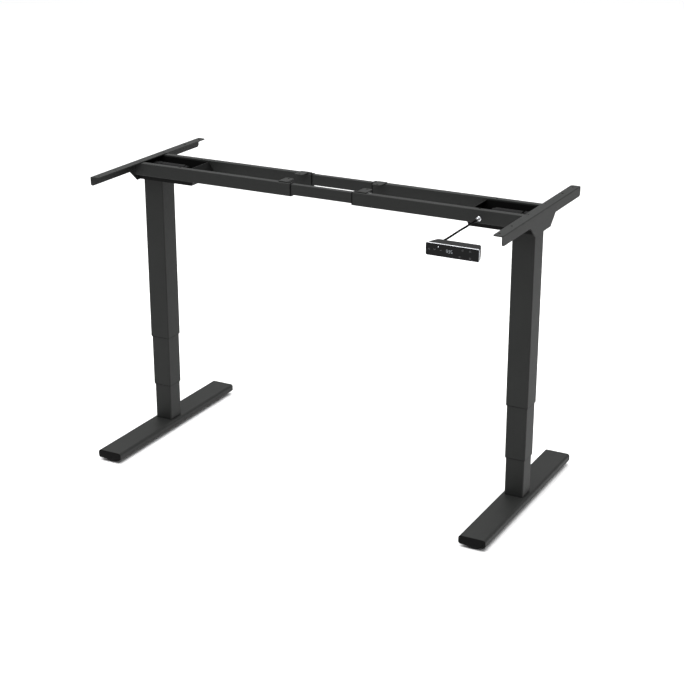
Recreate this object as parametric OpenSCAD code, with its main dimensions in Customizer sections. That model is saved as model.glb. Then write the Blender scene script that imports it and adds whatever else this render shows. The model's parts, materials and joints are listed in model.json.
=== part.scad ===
// Electric sit-stand desk frame: two flat feet, two three-stage square columns,
// a motor tray on each column, a width-adjustable pair of rails and two side
// brackets that carry the desktop, with a touch handset on a lead.
// Millimetres. X runs along the rails, Y to the back, Z up.
// The origin is on the floor, midway between the columns.
// Pieces are drawn for the right-hand side and mirrored for the left.

/* [Overall] */
// Width over the side brackets, as set
frame_w = 1360; // [1200:10:1700]
// Gap between the mouths of the left and right outer rails, as set
rail_gap = 214; // [60:2:500]

/* [Feet] */
// Length of a foot over its end caps, front to back
foot_l = 685; // [560:5:800]
// Width of the foot tube
foot_w = 85; // [78:1:110]
// Height of the foot tube
foot_t = 26; // [24:1:40]
// Wall of the foot tube
foot_wall = 2; // [1.5:0.5:3]
// Corner radius of the foot tube
foot_r = 8; // [4:1:10]
// Thickness of an end cap outside the tube
cap_t = 3; // [2:0.5:6]
// Depth of an end cap's plug inside the tube
cap_plug = 18; // [8:1:25]
// Height of the foot tube's underside above the floor
ground_gap = 10; // [6:1:16]
// Radius of a levelling glide at its top
glide_r = 29; // [20:1:36]
// Distance of a glide's axis from the end of the foot
glide_inset = 30; // [30:1:80]
// Radius of a glide's stud
stud_r = 4; // [3:0.5:5]

/* [Columns] */
// Side of the upper column tube, the widest
column_w = 70; // [66:1:90]
// Wall of all three column tubes
column_wall = 1.5; // [1.2:0.1:2]
// Gap between one column tube and the next, on each side
stage_gap = 1; // [1:0.1:2]
// Outer corner radius of the column tubes
column_r = 4; // [2.5:0.5:6]
// Length of the upper tube
upper_len = 540; // [450:5:700]
// Length of the middle tube
middle_len = 520; // [430:5:680]
// Length of the lower tube
lower_len = 505; // [430:5:680]
// Length of the middle tube that shows below the upper one, as set
middle_out = 170; // [20:1:320]
// Length of the lower tube that shows below the middle one, as set
lower_out = 124; // [20:1:260]
// Distance of the column's axis from the bracket's outer face
column_inset = 45; // [40:1:60]
// Radius of the driven spindle
spindle_r = 8; // [6:0.5:9]
// Radius of the hollow spindle around it
sleeve_r = 13; // [12:0.5:16]

/* [Rails and trays] */
// Height of an outer rail tube
rail_h = 40; // [36:1:50]
// Depth of an outer rail tube, front to back
rail_d = 20; // [18:1:30]
// Distance between the centres of the front and rear rails
rail_pitch = 132; // [120:2:180]
// Wall of the rail tubes
rail_wall = 1.2; // [1.2:0.1:2]
// Length of an inner rail tube
inner_len = 800; // [700:10:900]
// Thickness of the guide pad that an inner rail slides on
pad_t = 3.4; // [1:0.2:8]
// Length of a guide sleeve inside a rail's mouth
sleeve_len = 26; // [20:1:50]
// Width of a centre mounting tab
tab_w = 30; // [20:1:40]
// Distance of a tab's hole from the rail's middle
tab_reach = 33; // [26:1:38]
// Distance of a tab's middle from the rail's mouth
tab_back = 27; // [27:1:60]
// Height of the motor tray
tray_h = 52; // [50:1:60]
// Distance of the tray's floor below the rails' underside
tray_drop = 17; // [8:1:25]
// Length of the tray, from the bracket inwards
tray_len = 203; // [190:1:260]
// Sheet thickness of the tray
tray_t = 2; // [1.5:0.5:3]

/* [Side brackets] */
// Length of a side bracket, front to back
bracket_l = 600; // [480:10:760]
// Width of its top flange
flange_w = 30; // [26:1:45]
// Depth of its outer flange
flange_h = 30; // [20:1:33]
// Sheet thickness of the bracket
bracket_t = 3; // [2:0.5:4]
// Depth of the gusset at the bracket's middle, from the top
gusset_h = 64; // [50:1:75]
// Width of the gusset at its lower edge
gusset_w = 120; // [90:5:180]
// Radius of the desktop screw holes
screw_r = 3.5; // [2:0.5:4]

/* [Handset] */
// Width of the handset's front
handset_w = 155; // [120:1:180]
// Height of the handset's front
handset_h = 36; // [28:1:45]
// Depth of the handset behind its front frame
handset_d = 46; // [40:1:48]
// Distance from the middle of the frame back to the handset's front
handset_y = 440; // [438:1:440]
// Diameter of the handset's lead
cord_d = 6; // [4:0.5:6]

/* [Hidden] */
$fn = 48;
eps = 0.01;

// Clearances
slide_play = 0.3;   // between pieces that slide past each other
shaft_play = 0.05;  // between a turning shaft and its bore, on the radius
fit_play = 0.1;     // between pieces that are fixed to each other

// Finishes
paint = [0.20, 0.21, 0.20];
black = [0.07, 0.07, 0.07];
zinc = [0.62, 0.63, 0.65];

// Heights
foot_top = ground_gap + foot_t;
middle_z = foot_top + lower_out;          // bottom of the middle tube
upper_z = middle_z + middle_out;          // bottom of the upper tube
head_z = upper_z + upper_len;             // top of the column, floor of the tray
rail_z = head_z + tray_drop;              // underside of the rails
rail_top = rail_z + rail_h;
frame_h = rail_top + bracket_t;           // top face that the desktop rests on
rail_mid_z = rail_z + rail_h / 2;
// the inner rail fills the outer one but for its play and the pad under it
inner_d = rail_d - 2 * rail_wall - 2 * slide_play;
inner_top = rail_top - rail_wall - slide_play;
inner_h = inner_top - (rail_z + rail_wall + fit_play + pad_t + slide_play);
inner_mid_z = inner_top - inner_h / 2;
tray_top = head_z + tray_h;

// Places along X, right-hand side
out_x = frame_w / 2;
column_x = out_x - column_inset;
wall_x = out_x - bracket_t;               // inner face of the bracket's outer flange
mouth_x = rail_gap / 2;
tray_x = wall_x - tray_len;               // inner end of the tray's floor
tray_nose = 11;                           // how far the tray's end bulges past its floor
tray_lip = 6;                             // how far its top edge stands back from the floor's end
tab_x = mouth_x + tab_back;
lock_x = mouth_x + 6;                     // screw that clamps the inner rail
dimple_x = tray_x + 36;                   // hole in the top of each outer rail

// Places along Y
rail_y = rail_pitch / 2;
tray_w = rail_pitch - rail_d;             // the tray fills the space between the rails
tab_y = rail_y - tab_reach;               // hole of a centre tab
tab_tip = 8;                              // tab beyond its hole
collar_t = 4;                             // guide collar in front of a rail's mouth
glide_y = foot_l / 2 - glide_inset;
desk_hole_y = [bracket_l / 2 - 20, bracket_l / 2 - 105];
desk_hole_x = out_x - flange_w * 0.6;

// Column sections
middle_w = column_w - 2 * column_wall - 2 * stage_gap;
lower_w = middle_w - 2 * column_wall - 2 * stage_gap;
middle_top = middle_z + middle_len;
lower_top = foot_top + lower_len;
slider_h = 30;                            // guide skirt along a tube
plug_in = 14;                             // plug inside the middle tube's top
plug_cap = 3;                             // plug's rim on top of a tube
lip = 1.5;                                // bush's rim under a tube
base_t = 6;                               // plate welded in the lower tube's foot
top_t = 4;                                // plate welded in the upper tube's head
foot_bolt_r = 4;
foot_bolt_at = lower_w / 2 - column_wall - 10.5;
head_screw_r = 3;
head_screw_cone = 2.8;
head_screw_top = 5.8;

// Gearbox and motor
gear_base_t = 5;
gear_body = 36;
gear_h = 44;
gear_screw_at = 24;
gear_base = 2 * gear_screw_at + 16;
motor_r = 20;
motor_len = 95;
motor_z = head_z + tray_t + 26;

// Lead socket, in the right front rail, and the control box behind it
socket_x = column_x - 121;
socket_z = rail_mid_z - 6;
socket_r = 7;
socket_rim = 2;
plug_r = 5;
plug_tip = 4;
plug_body = 24;
box_len = 108;
box_d = 30;
box_h = 40;
box_x = column_x - 41 - box_len;
box_y = -tray_w / 2 + tray_t;
inlet = [12, 17, 10];                     // pocket for a power lead: depth, width, height
window_y = box_y + box_d / 2;
window_z = head_z + tray_t + 20;

// Handset
handset_x = column_x - 40;
handset_top = frame_h;
handset_mid_z = handset_top - handset_h / 2;
frame_t = 3;
frame_rim = 1;
shell_t = 2;
shell_back_w = handset_w - 28;
lead_x = handset_x - 52;
lead_z = handset_top - 10;
boot_len = 8;
boot_r = 3.5;

// Route of the handset's lead, from the handset's boot to its plug, for a column 635 mm
// from the middle; it shifts sideways with the column
route_x = 635;
cord_path = [
  [543, -384, 920], [541, -366, 919], [537, -330, 916], [532, -280, 913],
  [527, -230, 910], [522, -180, 906], [518, -145, 904], [516, -122, 902], [514, -104, 901]];
cord_steps = 3;
cord_sides = 8;

// ---- helpers ----

module side(s) {
  if (s < 0) mirror([1, 0, 0]) children(); else children();
}

// Rectangle with true arc corners, centred
module rrect(w, h, r) {
  square([w - 2 * r, h], center = true);
  square([w, h - 2 * r], center = true);
  for (x = [-1, 1], y = [-1, 1]) translate([x * (w / 2 - r), y * (h / 2 - r)]) circle(r = r);
}

module tube_outline(w, h, r, t) {
  difference() {
    rrect(w, h, r);
    rrect(w - 2 * t, h - 2 * t, max(r - t, 0.6));
  }
}

// Extrudes an X-Z outline along Y, centred
module along_y(l) { rotate([90, 0, 0]) linear_extrude(height = l, center = true) children(); }

// Extrudes a Y-Z outline along X, from the origin
module along_x(l) { rotate([90, 0, 90]) linear_extrude(height = l) children(); }

// Ring of square section around a column tube
module square_ring(w_out, r_out, w_in, r_in, h) {
  difference() {
    linear_extrude(height = h) rrect(w_out, w_out, r_out);
    translate([0, 0, -eps]) linear_extrude(height = h + 2 * eps) rrect(w_in, w_in, r_in);
  }
}

module four(at) {
  for (x = [-1, 1], y = [-1, 1]) translate([x * at, y * at, 0]) children();
}

// ---- feet ----

module foot_tube(s) {
  color(paint) side(s) translate([column_x, 0, 0]) {
    difference() {
      translate([0, 0, ground_gap + foot_t / 2])
        along_y(foot_l - 2 * cap_t) tube_outline(foot_w, foot_t, foot_r, foot_wall);
      // column bolts through the top wall, with room for a key through the lower one
      four(foot_bolt_at) {
        translate([0, 0, foot_top - foot_wall - 1]) cylinder(r = foot_bolt_r + 0.4, h = foot_wall + 2);
        translate([0, 0, ground_gap - 1]) cylinder(r = 8, h = foot_wall + 2);
      }
      for (y = [-1, 1]) translate([0, y * glide_y, ground_gap - 1])
        cylinder(r = stud_r + slide_play, h = foot_wall + 2);
    }
    // weld nuts for the glides
    for (y = [-1, 1]) translate([0, y * glide_y, ground_gap + foot_wall]) difference() {
      cylinder(r = 2 * stud_r, h = 8);
      translate([0, 0, -1]) cylinder(r = stud_r + slide_play, h = 10);
    }
  }
}

module foot_cap(s, y) {
  plug_w = foot_w - 2 * foot_wall - 2 * fit_play;
  plug_h = foot_t - 2 * foot_wall - 2 * fit_play;
  color(black) side(s) translate([column_x, y * (foot_l / 2 - cap_t), ground_gap + foot_t / 2])
    scale([1, y, 1]) rotate([-90, 0, 0]) {
      // outer plate, rounded over towards its face
      hull() {
        linear_extrude(height = cap_t / 2) rrect(foot_w, foot_t, foot_r, $fn = 32);
        linear_extrude(height = cap_t * 0.83) rrect(foot_w - 1.2, foot_t - 1.2, foot_r - 0.6, $fn = 32);
        linear_extrude(height = cap_t) rrect(foot_w - 3.2, foot_t - 3.2, foot_r - 1.6, $fn = 32);
      }
      // hollow plug
      translate([0, 0, -cap_plug]) linear_extrude(height = cap_plug + eps)
        tube_outline(plug_w, plug_h, foot_r - foot_wall, 2);
    }
}

module foot_bolts(s) {
  color(zinc) side(s) translate([column_x, 0, 0]) four(foot_bolt_at) {
    translate([0, 0, foot_top - foot_wall - 8]) difference() {
      cylinder(r = 6.5, h = 8);
      translate([0, 0, -1]) cylinder(r = 3.4, h = 5, $fn = 6);
    }
    translate([0, 0, foot_top - foot_wall - eps]) cylinder(r = foot_bolt_r, h = foot_wall + base_t + 6);
  }
}

module glide(s, y) {
  color(black) side(s) translate([column_x, y * glide_y, 0]) {
    rotate_extrude() polygon([
      [0, 0], [glide_r - 8, 0], [glide_r - 5, 0.8], [glide_r - 1.5, ground_gap - 3.5],
      [glide_r, ground_gap - 1.6], [glide_r, ground_gap - slide_play], [0, ground_gap - slide_play]]);
    translate([0, 0, 1]) cylinder(r = stud_r, h = ground_gap + 15);
  }
}

// ---- columns ----

module lower_column(s) {
  color(paint) side(s) translate([column_x, 0, foot_top]) {
    linear_extrude(height = lower_len) tube_outline(lower_w, lower_w, column_r, column_wall);
    difference() {
      linear_extrude(height = base_t)
        square(lower_w - 2 * column_wall + 0.5, center = true);
      translate([0, 0, -1]) {
        four(foot_bolt_at) cylinder(r = foot_bolt_r + fit_play, h = base_t + 2);
        cylinder(r = 6, h = base_t + 2);
      }
    }
  }
}

// Moulded nut and guide on the lower tube's head
module lower_nut(s) {
  inside = lower_w - 2 * column_wall - 2 * fit_play;
  skirt = lower_w + 2 * (stage_gap - slide_play);
  color([0.85, 0.84, 0.80]) side(s) translate([column_x, 0, lower_top]) difference() {
    union() {
      translate([0, 0, -slider_h]) linear_extrude(height = slider_h + eps)
        rrect(inside, inside, column_r - column_wall);
      linear_extrude(height = plug_cap) rrect(skirt, skirt, column_r);
      translate([0, 0, -slider_h]) square_ring(skirt, column_r, lower_w + 0.1, column_r, slider_h + eps);
    }
    translate([0, 0, -slider_h - 1]) cylinder(r = sleeve_r + slide_play, h = slider_h + plug_cap + 2);
  }
}

module middle_column(s) {
  color(paint) side(s) translate([column_x, 0, middle_z])
    linear_extrude(height = middle_len) tube_outline(middle_w, middle_w, column_r, column_wall);
}

// Plastic guide pressed into a tube's lower mouth
module mouth_bush(tube_w, z) {
  outside = tube_w - 2 * column_wall - 0.02;
  inside = tube_w - 2 * column_wall - 2 * (stage_gap - slide_play);
  translate([column_x, 0, z]) {
    square_ring(outside, column_r - column_wall, inside, column_r - column_wall, slider_h);
    translate([0, 0, -lip]) square_ring(tube_w - 0.6, column_r, inside, column_r - column_wall, lip);
  }
}

module middle_bush(s) { color(black) side(s) mouth_bush(middle_w, middle_z); }
module upper_bush(s) { color(black) side(s) mouth_bush(column_w, upper_z); }

// Moulded guide on the middle tube's head, which carries the hollow spindle
module middle_plug(s) {
  inside = middle_w - 2 * column_wall - 2 * fit_play;
  skirt = middle_w + 2 * (stage_gap - slide_play);
  color([0.85, 0.84, 0.80]) side(s) translate([column_x, 0, middle_top]) difference() {
    union() {
      translate([0, 0, -plug_in]) linear_extrude(height = plug_in + eps) rrect(inside, inside, column_r - column_wall);
      linear_extrude(height = plug_cap) rrect(skirt, skirt, column_r);
      translate([0, 0, -slider_h]) square_ring(skirt, column_r, middle_w + 0.1, column_r, slider_h + eps);
    }
    translate([0, 0, -plug_in - 1]) cylinder(r = sleeve_r + shaft_play, h = plug_in + plug_cap + 2);
    translate([0, 0, plug_cap - 6 - slide_play]) cylinder(r = sleeve_r + 4 + slide_play, h = 8);
  }
}

// Hollow spindle hung in the middle tube; it reaches down through the lower nut
module hollow_spindle(s) {
  below = middle_len - 180;
  color(zinc) side(s) translate([column_x, 0, middle_top + plug_cap - 6]) difference() {
    union() {
      translate([0, 0, -below]) cylinder(r = sleeve_r, h = below + 6);
      cylinder(r = sleeve_r + 4, h = 6);
    }
    translate([0, 0, -below - 1]) cylinder(r = spindle_r + slide_play, h = below + 8);
  }
}

module drive_spindle(s) {
  color(zinc) side(s) translate([column_x, 0, 0])
    translate([0, 0, head_z + tray_t + 25 - 0.3 - (upper_len - 85)])
      cylinder(r = spindle_r, h = upper_len - 85);
}

module upper_column(s) {
  inside = column_w - 2 * column_wall;
  color(paint) side(s) translate([column_x, 0, upper_z]) {
    linear_extrude(height = upper_len) tube_outline(column_w, column_w, column_r, column_wall);
    translate([0, 0, upper_len - top_t]) difference() {
      linear_extrude(height = top_t) square(inside + 0.5, center = true);
      translate([0, 0, -1]) {
        cylinder(r = spindle_r + 2, h = top_t + 2);
        four(gear_screw_at) cylinder(r = head_screw_r + fit_play, h = top_t + 2);
      }
    }
  }
}

// ---- head: tray, gearbox, motor, rails, bracket ----

// Side outline of the tray, t in from its outside, raised past its rim by up
module tray_outline(t, up) {
  nose_z = tray_h * 0.48;
  slope = sqrt(1 + pow((tray_nose + tray_lip) / (tray_h - nose_z), 2));
  polygon([
    [tray_x + t, t], [tray_x - tray_nose + t * 1.1, nose_z],
    [tray_x + tray_lip + t * slope + up * (tray_nose + tray_lip) / (tray_h - nose_z), tray_h + up],
    [wall_x - t, tray_h + up], [wall_x - t, t]]);
}

module tray(s) {
  color(paint) side(s) translate([0, 0, head_z]) difference() {
    along_y(tray_w) tray_outline(0, 0);
    along_y(tray_w - 2 * tray_t) tray_outline(tray_t, 5);
    translate([column_x, 0, -1]) {
      cylinder(r = spindle_r + 2, h = tray_t + 2);
      four(gear_screw_at) cylinder(r = head_screw_r + 0.2, h = tray_t + 2);
    }
    // window for cables in the tray's end
    translate([tray_x - tray_nose - 1, window_y - 11, window_z - head_z - 8])
      cube([tray_nose + tray_lip + 12, 22, 16]);
    if (s > 0) translate([socket_x, -tray_w / 2 - 1, socket_z - head_z])
      rotate([-90, 0, 0]) cylinder(r = socket_r + fit_play, h = tray_t + 2);
  }
}

module gearbox(s) {
  color([0.25, 0.26, 0.27]) side(s) translate([column_x, 0, head_z + tray_t]) difference() {
    union() {
      linear_extrude(height = gear_base_t) rrect(gear_base, gear_base, 6);
      linear_extrude(height = gear_h - 3) rrect(gear_body, gear_body, 4);
      cylinder(r = gear_body / 2 - 3, h = gear_h);
    }
    translate([0, 0, -1]) cylinder(r = spindle_r + shaft_play, h = 26);
    four(gear_screw_at) {
      translate([0, 0, -1]) cylinder(r = head_screw_r + 0.2, h = gear_base_t + 2);
      translate([0, 0, gear_base_t - head_screw_cone])
        cylinder(r1 = head_screw_r + 0.2, r2 = head_screw_top + 0.2, h = head_screw_cone + eps);
    }
  }
}

module motor(s) {
  face = column_x - gear_body / 2;
  color(black) side(s) translate([face, 0, motor_z]) rotate([0, -90, 0]) {
    linear_extrude(height = 4) rrect(2 * motor_r - 1, 2 * motor_r - 1, 4);
    translate([0, 0, 4 - eps]) cylinder(r = motor_r, h = motor_len - 12);
    translate([0, 0, motor_len - 8 - 2 * eps]) cylinder(r = motor_r - 2.5, h = 8);
    translate([0, 0, motor_len - 3 * eps]) cylinder(r = 6, h = 5);
  }
}

// Countersunk screws: four hold gearbox, tray and column, two hold the bracket to the rails
module head_screw() {
  cylinder(r1 = head_screw_r, r2 = head_screw_top, h = head_screw_cone);
  translate([0, 0, -9]) cylinder(r = head_screw_r, h = 9 + eps);
}

module head_screws(s) {
  color(zinc) side(s) {
    translate([column_x, 0, head_z + tray_t + gear_base_t - head_screw_cone]) four(gear_screw_at) head_screw();
    for (y = [-1, 1]) translate([desk_hole_x - 4, y * rail_y, frame_h - head_screw_cone - 0.15]) head_screw();
  }
}

// Outer rail, y = -1 front or +1 rear
module outer_rail(s, y) {
  color(paint) side(s) difference() {
    translate([mouth_x, y * rail_y, rail_mid_z])
      along_x(wall_x - mouth_x) tube_outline(rail_d, rail_h, 2.5, rail_wall);
    // top: bracket screw, a hole above the tray's end and a lock screw near the mouth
    translate([desk_hole_x - 4, y * rail_y, rail_top - 4]) cylinder(r = head_screw_r + 0.2, h = 6);
    translate([dimple_x, y * (rail_y - 3), rail_top - 4]) cylinder(r = 3.5, h = 6);
    translate([lock_x, y * rail_y, rail_top - 4]) cylinder(r = 3 + fit_play, h = 6);
    if (s > 0 && y < 0) translate([socket_x, -rail_y - rail_d, socket_z])
      rotate([-90, 0, 0]) cylinder(r = socket_r - 1 + fit_play, h = 2 * rail_d);
  }
}

// Two flat tabs on the rails that take desktop screws
module desk_tabs(s) {
  color(paint) side(s) for (y = [-1, 1]) translate([tab_x, 0, rail_top]) difference() {
    linear_extrude(height = bracket_t) difference() {
      union() {
        translate([-tab_w / 2, y > 0 ? tab_y + 2 : -rail_y - 4]) square([tab_w, rail_y + 2 - tab_y]);
        translate([-tab_w / 2 + 7, y > 0 ? tab_y - tab_tip : -tab_y - 5]) square([tab_w - 14, tab_tip + 5]);
        for (x = [-1, 1]) translate([x * (tab_w / 2 - 7), y * (tab_y - tab_tip + 7)]) circle(r = 7);
        translate([-tab_w / 2, y > 0 ? tab_y - tab_tip + 7 : -tab_y - 6]) square([tab_w, tab_tip - 1]);
      }
      translate([0, y * tab_y]) circle(r = screw_r);
    }
  }
}

// Plastic guides in the mouths of the two outer rails: a collar outside and a pad under the inner rail
module rail_sleeves(s) {
  dz = inner_mid_z - rail_mid_z;
  in_d = inner_d + 2 * slide_play;
  in_h = inner_h + 2 * slide_play;
  color(black) side(s) for (y = [-1, 1]) translate([mouth_x, y * rail_y, rail_mid_z]) difference() {
    union() {
      translate([-collar_t, 0, 0]) along_x(collar_t) rrect(rail_d - 0.6, rail_h - 0.6, 2.2);
      translate([-eps, 0, 0]) along_x(sleeve_len)
        rrect(rail_d - 2 * rail_wall - 2 * fit_play, rail_h - 2 * rail_wall - 2 * fit_play, 1);
    }
    translate([-collar_t - 1, 0, dz]) along_x(sleeve_len + collar_t + 2) square([in_d, in_h], center = true);
    translate([lock_x - mouth_x, 0, dz]) cylinder(r = 3 + fit_play, h = rail_h);
  }
}

// Button-head screws in the rail tops that clamp the inner rails
module lock_screws(s) {
  reach = rail_top - inner_top - 0.9;
  color(zinc) side(s) for (y = [-1, 1]) translate([lock_x, y * rail_y, rail_top]) {
    difference() {
      union() {
        cylinder(r = 5.3, h = 0.9);
        translate([0, 0, 0.9 - eps]) cylinder(r1 = 5.3, r2 = 3.8, h = 1.8);
      }
      translate([0, 0, 0.9]) cylinder(r = 2.3, h = 3, $fn = 6);
    }
    translate([0, 0, -reach]) cylinder(r = 3, h = reach + eps);
  }
}

module inner_rail(y) {
  color(paint) translate([-inner_len / 2, y * rail_y, inner_mid_z])
    along_x(inner_len) tube_outline(inner_d, inner_h, 2.2, rail_wall);
}

module side_bracket(s) {
  top_r = 3;
  color(paint) side(s) difference() {
    union() {
      // folded section: top flange inwards, outer flange down, round fold
      translate([out_x, 0, frame_h]) along_y(bracket_l) {
        translate([-flange_w, -bracket_t]) square([flange_w - top_r, bracket_t]);
        translate([-bracket_t, -flange_h]) square([bracket_t, flange_h - top_r]);
        intersection() {
          translate([-top_r, -top_r]) circle(r = top_r);
          translate([-top_r, -top_r]) square(top_r + 1);
        }
      }
      translate([wall_x, 0, frame_h]) along_x(bracket_t) {
        w = gusset_w + 2 * (gusset_h - flange_h) * 1.09;
        polygon([[-w / 2, 3 - flange_h], [-w / 2, -flange_h], [-gusset_w / 2, -gusset_h],
                 [gusset_w / 2, -gusset_h], [w / 2, -flange_h], [w / 2, 3 - flange_h]]);
      }
    }
    for (y = [-1, 1]) {
      for (h = desk_hole_y) translate([desk_hole_x, y * h, frame_h - bracket_t - 1])
        cylinder(r = screw_r, h = bracket_t + 2);
      translate([desk_hole_x - 4, y * rail_y, frame_h - bracket_t - 1]) {
        cylinder(r = head_screw_r + 0.2, h = bracket_t + 2);
        translate([0, 0, bracket_t + 1 - head_screw_cone - 0.15])
          cylinder(r1 = head_screw_r + 0.2, r2 = head_screw_top + 0.35, h = head_screw_cone + 0.2);
      }
      // rounded lower corners of the outer flange
      translate([wall_x - 1, y * (bracket_l / 2 - 10), frame_h - flange_h + 10]) rotate([0, 90, 0])
        linear_extrude(height = bracket_t + 2) difference() {
          translate([0, y > 0 ? 0 : -11]) square([11, 11]);
          circle(r = 10);
        }
      // clipped inner corners of the top flange
      translate([out_x - flange_w, y * bracket_l / 2, frame_h - bracket_t - 1]) rotate([0, 0, 45])
        translate([-3.5, -3.5, 0]) cube([7, 7, bracket_t + 2]);
    }
  }
}

// ---- electrics ----

module control_box() {
  color(black) difference() {
    translate([box_x, box_y, head_z + tray_t]) cube([box_len, box_d, box_h]);
    // power inlet in the end that faces the cable window, and two motor sockets beside it
    translate([box_x - 1, window_y - inlet[1] / 2, window_z - inlet[2] / 2])
      cube([inlet[0] + 1, inlet[1], inlet[2]]);
    for (i = [0, 1]) translate([box_x + box_len - 24 - 22 * i, box_y + 8, head_z + tray_t + box_h - 8])
      cube([16, 9, 9]);
    translate([socket_x, box_y - 1, socket_z]) rotate([-90, 0, 0]) cylinder(r = socket_r - 1 + fit_play, h = 9);
  }
}

// Round metal socket let into the front rail
module lead_socket() {
  color(zinc) translate([socket_x, -rail_y - rail_d / 2 - socket_rim, socket_z]) rotate([-90, 0, 0]) difference() {
    union() {
      cylinder(r = socket_r, h = socket_rim);
      translate([0, 0, socket_rim - eps]) cylinder(r = socket_r - 1, h = rail_d + tray_t + 7.9);
    }
    translate([0, 0, -1]) cylinder(r = plug_r - 0.5 + fit_play, h = plug_tip + socket_rim + 1);
  }
}

module lead_plug() {
  face = -rail_y - rail_d / 2 - socket_rim;
  color(black) translate([socket_x, face, socket_z]) rotate([90, 0, 0]) {
    translate([0, 0, -plug_tip]) cylinder(r = plug_r - 0.5, h = plug_tip + eps);
    cylinder(r = plug_r - 0.4, h = 5);
    translate([0, 0, 5 - eps]) cylinder(r = plug_r, h = 8);
    translate([0, 0, 13 - 2 * eps]) cylinder(r1 = plug_r - 1, r2 = cord_d / 2 + 0.3, h = plug_body - 11);
  }
}

// Smooth curve through the route's points
function spline(p, i, t) =
  let (n = len(p) - 1, a = p[max(i - 1, 0)], b = p[i], c = p[i + 1], d = p[min(i + 2, n)])
  0.5 * (2 * b + (c - a) * t + (2 * a - 5 * b + 4 * c - d) * t * t + (3 * b - a - 3 * c + d) * t * t * t);
function route(p, k) = concat(
  [for (i = [0 : len(p) - 2], j = [0 : k - 1]) spline(p, i, j / k)], [p[len(p) - 1]]);
function unit(v) = v / norm(v);

module sweep(p, r, sides) {
  n = len(p);
  pts = [for (i = [0 : n - 1])
    let (t = unit(p[min(i + 1, n - 1)] - p[max(i - 1, 0)]), u = unit(cross(t, [0, 0, 1])), v = cross(u, t))
    for (k = [0 : sides - 1]) p[i] + r * (cos(360 * k / sides) * u + sin(360 * k / sides) * v)];
  faces = concat(
    [[for (k = [sides - 1 : -1 : 0]) k]],
    [for (i = [0 : n - 2], k = [0 : sides - 1])
      let (a = i * sides + k, b = i * sides + (k + 1) % sides) [a, b, b + sides, a + sides]],
    [[for (k = [0 : sides - 1]) (n - 1) * sides + k]]);
  polyhedron(points = pts, faces = faces);
}

module handset_lead() {
  color(black) translate([column_x - route_x, 0, 0])
    sweep(route(cord_path, cord_steps), cord_d / 2, cord_sides);
}

// ---- handset ----

// Plan: square front, sides drawn in towards the back
module handset_plan(t) {
  y0 = frame_t;
  polygon([[-handset_w / 2 + 2 + t, y0], [handset_w / 2 - 2 - t, y0],
           [handset_w / 2 - 3 - t, y0 + 12], [shell_back_w / 2 - t, handset_d - 4 - t],
           [shell_back_w / 2 - 4, handset_d - t], [-shell_back_w / 2 + 4, handset_d - t],
           [-shell_back_w / 2 + t, handset_d - 4 - t], [-handset_w / 2 + 3 + t, y0 + 12]]);
}

module handset_shell() {
  h = handset_h - 2;
  color(black) translate([handset_x, -handset_y, handset_top - h - 1]) difference() {
    union() {
      linear_extrude(height = h + 1) handset_plan(0);
      // boot for the lead
      translate([lead_x - handset_x, handset_d - 2, lead_z - (handset_top - h - 1)])
        rotate([-90, 0, 0]) cylinder(r1 = boot_r + 0.6, r2 = boot_r, h = boot_len + 2 + (handset_y - handset_d - 384 - boot_len));
    }
    translate([0, -eps, shell_t]) linear_extrude(height = h - 2 * shell_t + 1) handset_plan(shell_t);
    translate([-handset_w / 2 + 6, 0, shell_t]) cube([handset_w - 12, frame_t + 1, h - 2 * shell_t + 1]);
    // screw holes to the underside of the desktop
    for (x = [-1, 1]) translate([x * 46, handset_d - 14, h - shell_t - 1]) cylinder(r = 2, h = shell_t + 4);
    // access from below to those screws
    for (x = [-1, 1]) translate([x * 46, handset_d - 14, -1]) cylinder(r = 4.5, h = shell_t + 2);
  }
}

module handset_frame() {
  color([0.8, 0.8, 0.82]) translate([handset_x, -handset_y + frame_t / 2, handset_mid_z])
    along_y(frame_t) tube_outline(handset_w, handset_h, 5, frame_rim);
}

module handset_glass() {
  color([0.02, 0.02, 0.02]) translate([handset_x, -handset_y + 0.3 + 1, handset_mid_z])
    along_y(2) rrect(handset_w - 2 * frame_rim - 0.1, handset_h - 2 * frame_rim - 0.1, 5 - frame_rim);
}

module handset_board() {
  color([0.1, 0.35, 0.2]) translate([handset_x, -handset_y, handset_mid_z]) {
    translate([0, frame_t + 2.5, 0]) along_y(1.6) square([handset_w - 26, handset_h - 13], center = true);
    // display block behind the glass
    translate([-10, frame_t + 0.7, 0]) along_y(2.2) square([34, 14], center = true);
  }
}

// ---- nodes ----

foot_tube(-1);  // left_foot_tube
foot_cap(-1, -1);  // left_foot_cap_front
foot_cap(-1, 1);  // left_foot_cap_rear
foot_bolts(-1);  // left_foot_bolts
lower_column(-1);  // left_lower_column
lower_nut(-1);  // left_lower_nut
glide(-1, -1);  // left_glide_front
glide(-1, 1);  // left_glide_rear
middle_column(-1);  // left_middle_column
middle_bush(-1);  // left_middle_bush
middle_plug(-1);  // left_middle_plug
hollow_spindle(-1);  // left_hollow_spindle
upper_column(-1);  // left_upper_column
upper_bush(-1);  // left_upper_bush
drive_spindle(-1);  // left_drive_spindle
tray(-1);  // left_tray
gearbox(-1);  // left_gearbox
motor(-1);  // left_motor
side_bracket(-1);  // left_side_bracket
head_screws(-1);  // left_head_screws
outer_rail(-1, -1);  // left_front_rail
outer_rail(-1, 1);  // left_rear_rail
desk_tabs(-1);  // left_desk_tabs
rail_sleeves(-1);  // left_rail_sleeves
lock_screws(-1);  // left_lock_screws
inner_rail(-1);  // front_inner_rail
inner_rail(1);  // rear_inner_rail
foot_tube(1);  // right_foot_tube
foot_cap(1, -1);  // right_foot_cap_front
foot_cap(1, 1);  // right_foot_cap_rear
foot_bolts(1);  // right_foot_bolts
lower_column(1);  // right_lower_column
lower_nut(1);  // right_lower_nut
glide(1, -1);  // right_glide_front
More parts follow.
